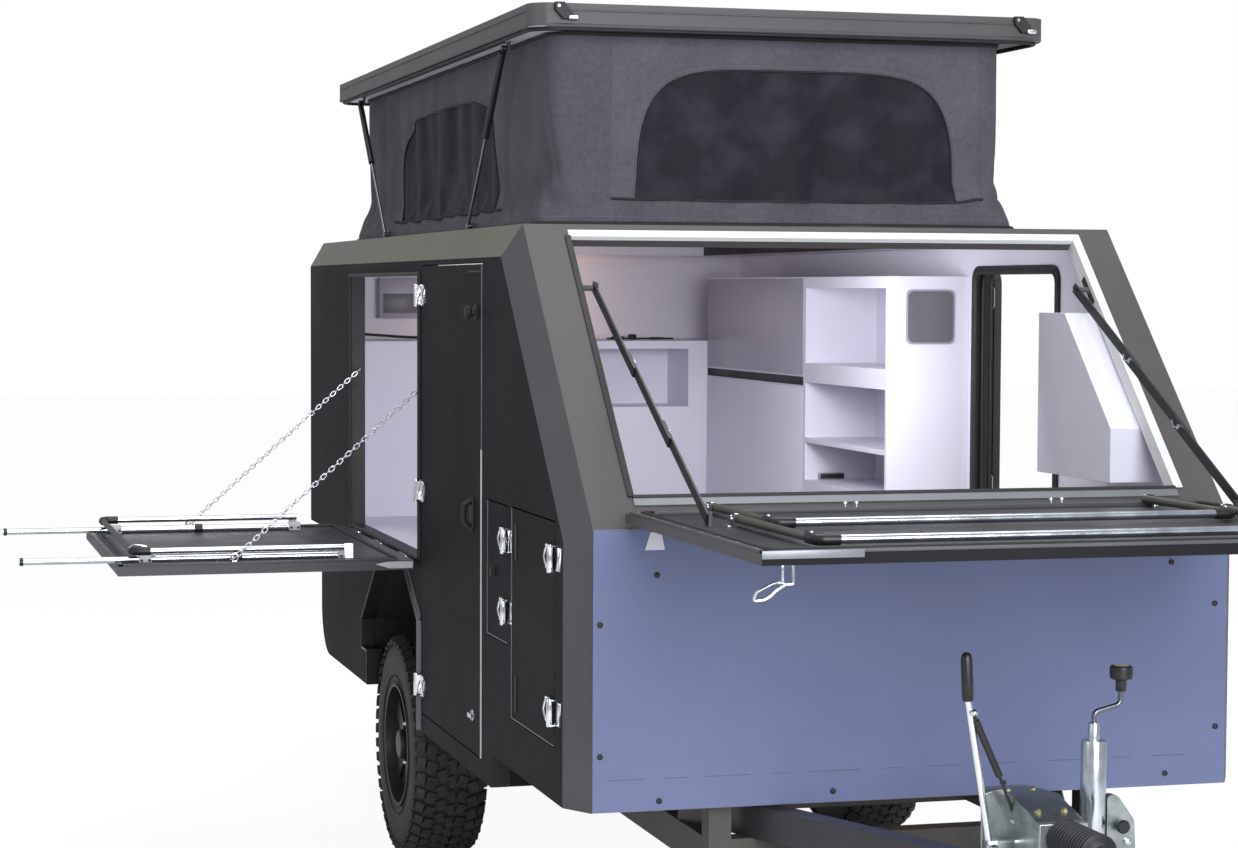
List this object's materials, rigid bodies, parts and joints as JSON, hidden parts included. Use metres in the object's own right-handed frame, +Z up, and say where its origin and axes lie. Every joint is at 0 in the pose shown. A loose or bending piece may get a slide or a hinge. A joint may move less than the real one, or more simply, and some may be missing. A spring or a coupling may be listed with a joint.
{
  "type": "pop-top camper trailer",
  "caption": "Single-axle off-road camper trailer with a sloped front, pop-top tent roof, folding front and side flaps, four doors, V drawbar, overrun coupling and jockey wheel.",
  "frame": {"origin": "bottom centre of the whole trailer's box, on the ground, with its roof up and its flaps open", "axes": "+Y points back from the front wall, +X to the right seen from the front, +Z up"},
  "size_m": [3.2122, 5.52, 2.738],
  "materials": {
    "body_dark": "satin",
    "front_blue_grey": "satin",
    "frame_paint": "satin",
    "zinc": "satin",
    "black_steel": "satin",
    "rubber": "matte",
    "canvas": "matte",
    "white_board": "satin",
    "floor_board": "matte",
    "black_plastic": "matte"
  },
  "bodies": {
    "trailer": {"front_wall": "front_blue_grey", "slope_frame": "body_dark", "top_frame": "body_dark", "rear_wall": "body_dark", "left_wall": "body_dark", "right_wall": "body_dark", "floor": "floor_board", "step_well": "floor_board", "wheel_tub_left": "black_plastic", "wheel_tub_right": "black_plastic", "locker_boxes": "white_board", "strut_feet": "zinc", "tent": "canvas", "side_chain_front": "zinc", "side_chain_rear": "zinc", "chassis": "frame_paint", "drawbar": "frame_paint", "coupling": "zinc", "bellows": "rubber", "handbrake_lever": "zinc", "jockey_tube": "zinc", "axle": "frame_paint", "rear_counter": "white_board", "right_cupboards": "white_board", "shelf_unit": "white_board", "left_bench": "white_board", "front_cupboard": "white_board"},
    "wheel_left": {"tyre_left": "rubber", "rim_left": "black_steel"},
    "wheel_right": {"tyre_right": "rubber", "rim_right": "black_steel"},
    "jockey_fork": {"jockey_fork": "zinc"},
    "jockey_wheel": {"jockey_wheel": "rubber"},
    "big_door": {"big_door": "body_dark"},
    "small_locker_door": {"small_locker_door": "body_dark"},
    "big_locker_door": {"big_locker_door": "body_dark"},
    "entry_door": {"entry_door": "body_dark"},
    "front_flap": {"front_flap": "body_dark"},
    "front_bow_near": {"front_bow_near": "zinc"},
    "front_bow_far": {"front_bow_far": "zinc"},
    "side_flap": {"side_flap": "body_dark"},
    "side_bow": {"side_bow": "zinc"},
    "side_leg_front": {"side_leg_front": "zinc"},
    "side_leg_rear": {"side_leg_rear": "zinc"},
    "roof": {"roof_slab": "body_dark"},
    "jockey_leg": {"jockey_leg": "zinc"},
    "stay_foot_left": {"stay_foot_left": "black_steel"},
    "stay_middle_left": {"stay_middle_left": "black_steel"},
    "stay_head_left": {"stay_head_left": "black_steel"},
    "strut_tube_front_left": {"strut_tube_front_left": "black_steel"},
    "strut_rod_front_left": {"strut_rod_front_left": "zinc"},
    "strut_tube_rear_left": {"strut_tube_rear_left": "black_steel"},
    "strut_rod_rear_left": {"strut_rod_rear_left": "zinc"},
    "stay_foot_right": {"stay_foot_right": "black_steel"},
    "stay_middle_right": {"stay_middle_right": "black_steel"},
    "stay_head_right": {"stay_head_right": "black_steel"},
    "strut_tube_front_right": {"strut_tube_front_right": "black_steel"},
    "strut_rod_front_right": {"strut_rod_front_right": "zinc"},
    "strut_tube_rear_right": {"strut_tube_rear_right": "black_steel"},
    "strut_rod_rear_right": {"strut_rod_rear_right": "zinc"}
  },
  "joints": [
    {"name": "wheel_left_spin", "type": "hinge", "parent": "trailer", "child": "wheel_left", "pos_m": [-0.23013, 1.004, 0.374], "axis": [1, 0, 0], "continuous": true},
    {"name": "wheel_right_spin", "type": "hinge", "parent": "trailer", "child": "wheel_right", "pos_m": [1.36987, 1.004, 0.374], "axis": [1, 0, 0], "continuous": true},
    {"name": "jockey_lift", "type": "slide", "parent": "trailer", "child": "jockey_leg", "axis": [0, 0, 1], "range_m": [0, 0.06]},
    {"name": "jockey_swivel", "type": "hinge", "parent": "jockey_leg", "child": "jockey_fork", "pos_m": [0.71087, -2.185, 0.1], "axis": [0, 0, 1], "continuous": true},
    {"name": "jockey_wheel_spin", "type": "hinge", "parent": "jockey_fork", "child": "jockey_wheel", "pos_m": [0.71087, -2.23, 0.1], "axis": [1, 0, 0], "continuous": true},
    {"name": "big_door_swing", "type": "hinge", "parent": "trailer", "child": "big_door", "pos_m": [-0.37613, 0.412, 1.277], "axis": [0, 0, -1], "range_deg": [0, 88]},
    {"name": "small_locker_door_swing", "type": "hinge", "parent": "trailer", "child": "small_locker_door", "pos_m": [-0.37613, -0.784, 1.127], "axis": [0, 0, 1], "range_deg": [0, 100]},
    {"name": "big_locker_door_swing", "type": "hinge", "parent": "trailer", "child": "big_locker_door", "pos_m": [-0.37613, -1.302, 1.027], "axis": [0, 0, 1], "range_deg": [0, 100]},
    {"name": "entry_door_swing", "type": "hinge", "parent": "trailer", "child": "entry_door", "pos_m": [1.50787, 0.227, 1.277], "axis": [0, 0, 1], "range_deg": [-174, 0]},
    {"name": "front_flap_swing", "type": "hinge", "parent": "trailer", "child": "front_flap", "pos_m": [0.56987, -1.45438, 1.35736], "axis": [-1, 0, 0], "range_deg": [0, 133.72]},
    {"name": "front_bow_near_raise", "type": "hinge", "parent": "front_flap", "child": "front_bow_near", "pos_m": [0.56987, -1.55438, 1.38536], "axis": [-1, 0, 0], "range_deg": [0, 90]},
    {"name": "front_bow_far_raise", "type": "hinge", "parent": "front_flap", "child": "front_bow_far", "pos_m": [0.56987, -1.87938, 1.38536], "axis": [-1, 0, 0], "range_deg": [0, 90]},
    {"name": "stay_swing_left", "type": "hinge", "parent": "front_flap", "child": "stay_foot_left", "pos_m": [-0.13213, -1.83938, 1.38936], "axis": [1, 0, 0], "range_deg": [0, 151.09]},
    {"name": "stay_middle_slide_left", "type": "slide", "parent": "stay_foot_left", "child": "stay_middle_left", "axis": [0, 0.8753, 0.4835], "range_m": [-0.33946, 0]},
    {"name": "stay_head_slide_left", "type": "slide", "parent": "stay_middle_left", "child": "stay_head_left", "axis": [0, 0.8753, 0.4835], "range_m": [-0.33946, 0]},
    {"name": "stay_swing_right", "type": "hinge", "parent": "front_flap", "child": "stay_foot_right", "pos_m": [1.27187, -1.83938, 1.38936], "axis": [1, 0, 0], "range_deg": [0, 151.09]},
    {"name": "stay_middle_slide_right", "type": "slide", "parent": "stay_foot_right", "child": "stay_middle_right", "axis": [0, 0.8753, 0.4835], "range_m": [-0.33946, 0]},
    {"name": "stay_head_slide_right", "type": "slide", "parent": "stay_middle_right", "child": "stay_head_right", "axis": [0, 0.8753, 0.4835], "range_m": [-0.33946, 0]},
    {"name": "side_flap_swing", "type": "hinge", "parent": "trailer", "child": "side_flap", "pos_m": [-0.37513, 1.067, 1.057], "axis": [0, 1, 0], "range_deg": [0, 90], "deforming": ["side_chain_front", "side_chain_rear"]},
    {"name": "side_bow_raise", "type": "hinge", "parent": "side_flap", "child": "side_bow", "pos_m": [-0.58113, 1.067, 1.104], "axis": [0, 1, 0], "range_deg": [0, 90]},
    {"name": "side_leg_front_slide", "type": "slide", "parent": "side_flap", "child": "side_leg_front", "axis": [-1, 0, 0], "range_m": [-0.3411, 0]},
    {"name": "side_leg_rear_slide", "type": "slide", "parent": "side_flap", "child": "side_leg_rear", "axis": [-1, 0, 0], "range_m": [-0.3411, 0]},
    {"name": "roof_lift", "type": "slide", "parent": "trailer", "child": "roof", "axis": [0, 0, 1], "range_m": [-0.51, 0], "deforming": ["tent"]},
    {"name": "strut_swing_front_left", "type": "hinge", "parent": "roof", "child": "strut_tube_front_left", "pos_m": [-0.19413, -0.003, 2.648], "axis": [1, 0, 0], "range_deg": [0, 45.87]},
    {"name": "strut_rod_slide_front_left", "type": "slide", "parent": "strut_tube_front_left", "child": "strut_rod_front_left", "axis": [0, 0.6784, -0.7347], "range_m": [-0.22845, 0]},
    {"name": "strut_swing_front_right", "type": "hinge", "parent": "roof", "child": "strut_tube_front_right", "pos_m": [1.33387, -0.003, 2.648], "axis": [1, 0, 0], "range_deg": [0, 45.87]},
    {"name": "strut_rod_slide_front_right", "type": "slide", "parent": "strut_tube_front_right", "child": "strut_rod_front_right", "axis": [0, 0.6784, -0.7347], "range_m": [-0.22845, 0]},
    {"name": "strut_swing_rear_left", "type": "hinge", "parent": "roof", "child": "strut_tube_rear_left", "pos_m": [-0.19413, 2.419, 2.648], "axis": [-1, 0, 0], "range_deg": [0, 43.8]},
    {"name": "strut_rod_slide_rear_left", "type": "slide", "parent": "strut_tube_rear_left", "child": "strut_rod_rear_left", "axis": [0, -0.7057, -0.7085], "range_m": [-0.21677, 0]},
    {"name": "strut_swing_rear_right", "type": "hinge", "parent": "roof", "child": "strut_tube_rear_right", "pos_m": [1.33387, 2.419, 2.648], "axis": [-1, 0, 0], "range_deg": [0, 43.8]},
    {"name": "strut_rod_slide_rear_right", "type": "slide", "parent": "strut_tube_rear_right", "child": "strut_rod_rear_right", "axis": [0, -0.7057, -0.7085], "range_m": [-0.21677, 0]}
  ],
  "couplings": [
    {"joint": "stay_swing_left", "follows": "front_flap_swing", "ratio": 1.1298},
    {"joint": "stay_middle_slide_left", "follows": "front_flap_swing", "m_per_rad": -0.14541},
    {"joint": "stay_head_slide_left", "follows": "front_flap_swing", "m_per_rad": -0.14541},
    {"joint": "stay_swing_right", "follows": "front_flap_swing", "ratio": 1.1298},
    {"joint": "stay_middle_slide_right", "follows": "front_flap_swing", "m_per_rad": -0.14541},
    {"joint": "stay_head_slide_right", "follows": "front_flap_swing", "m_per_rad": -0.14541},
    {"joint": "side_leg_front_slide", "follows": "side_flap_swing", "m_per_rad": -0.21709},
    {"joint": "side_leg_rear_slide", "follows": "side_flap_swing", "m_per_rad": -0.21709},
    {"joint": "strut_swing_front_left", "follows": "roof_lift", "rad_per_m": -1.5693},
    {"joint": "strut_rod_slide_front_left", "follows": "roof_lift", "ratio": 0.44774},
    {"joint": "strut_swing_front_right", "follows": "roof_lift", "rad_per_m": -1.5693},
    {"joint": "strut_rod_slide_front_right", "follows": "roof_lift", "ratio": 0.44774},
    {"joint": "strut_swing_rear_left", "follows": "roof_lift", "rad_per_m": -1.4985},
    {"joint": "strut_rod_slide_rear_left", "follows": "roof_lift", "ratio": 0.42484},
    {"joint": "strut_swing_rear_right", "follows": "roof_lift", "rad_per_m": -1.4985},
    {"joint": "strut_rod_slide_rear_right", "follows": "roof_lift", "ratio": 0.42484}
  ]
}
